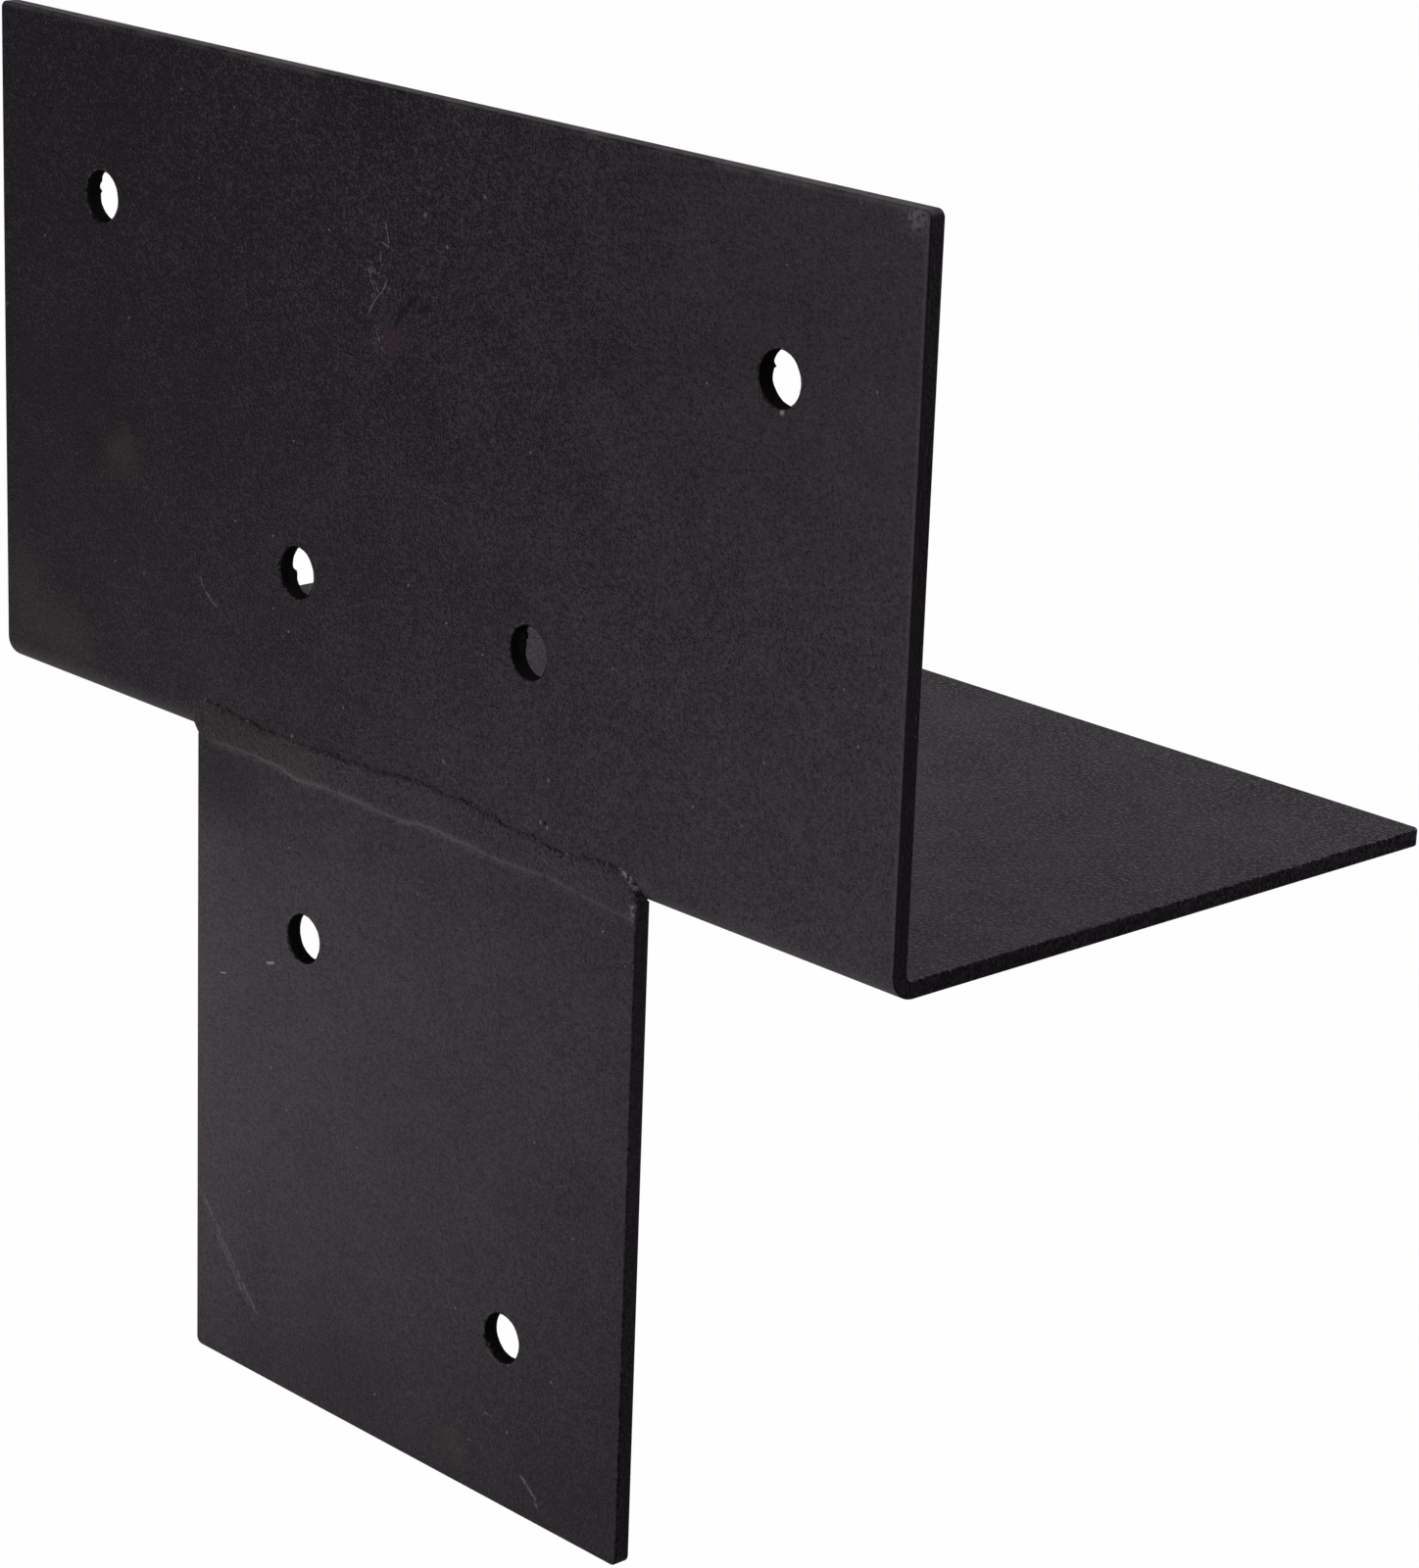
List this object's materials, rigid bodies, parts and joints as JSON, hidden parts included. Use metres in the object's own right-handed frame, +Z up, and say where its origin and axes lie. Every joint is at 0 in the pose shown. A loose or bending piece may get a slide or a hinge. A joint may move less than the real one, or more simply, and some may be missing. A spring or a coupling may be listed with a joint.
{
  "type": "pergola post extension bracket",
  "caption": "Black steel bracket that seats a beam on a post: a sheet bent into an upright and a leg, with a flat post plate welded flush under the bend.",
  "frame": {"origin": "on the underside of the leg, over the middle of a square post that is as wide as the post plate and stands against its back", "axes": "+X along the beam, +Y from the front plates back under the beam, +Z up"},
  "size_m": [0.2032, 0.1117, 0.2103],
  "materials": {
    "black_coat": "fine-textured satin black powder coat on steel sheet",
    "black_coat_weld": "the same black powder coat over a rough weld bead"
  },
  "bodies": {
    "root": {"beam_angle": "black_coat", "post_plate": "black_coat", "weld_bead": "black_coat_weld"}
  },
  "joints": []
}
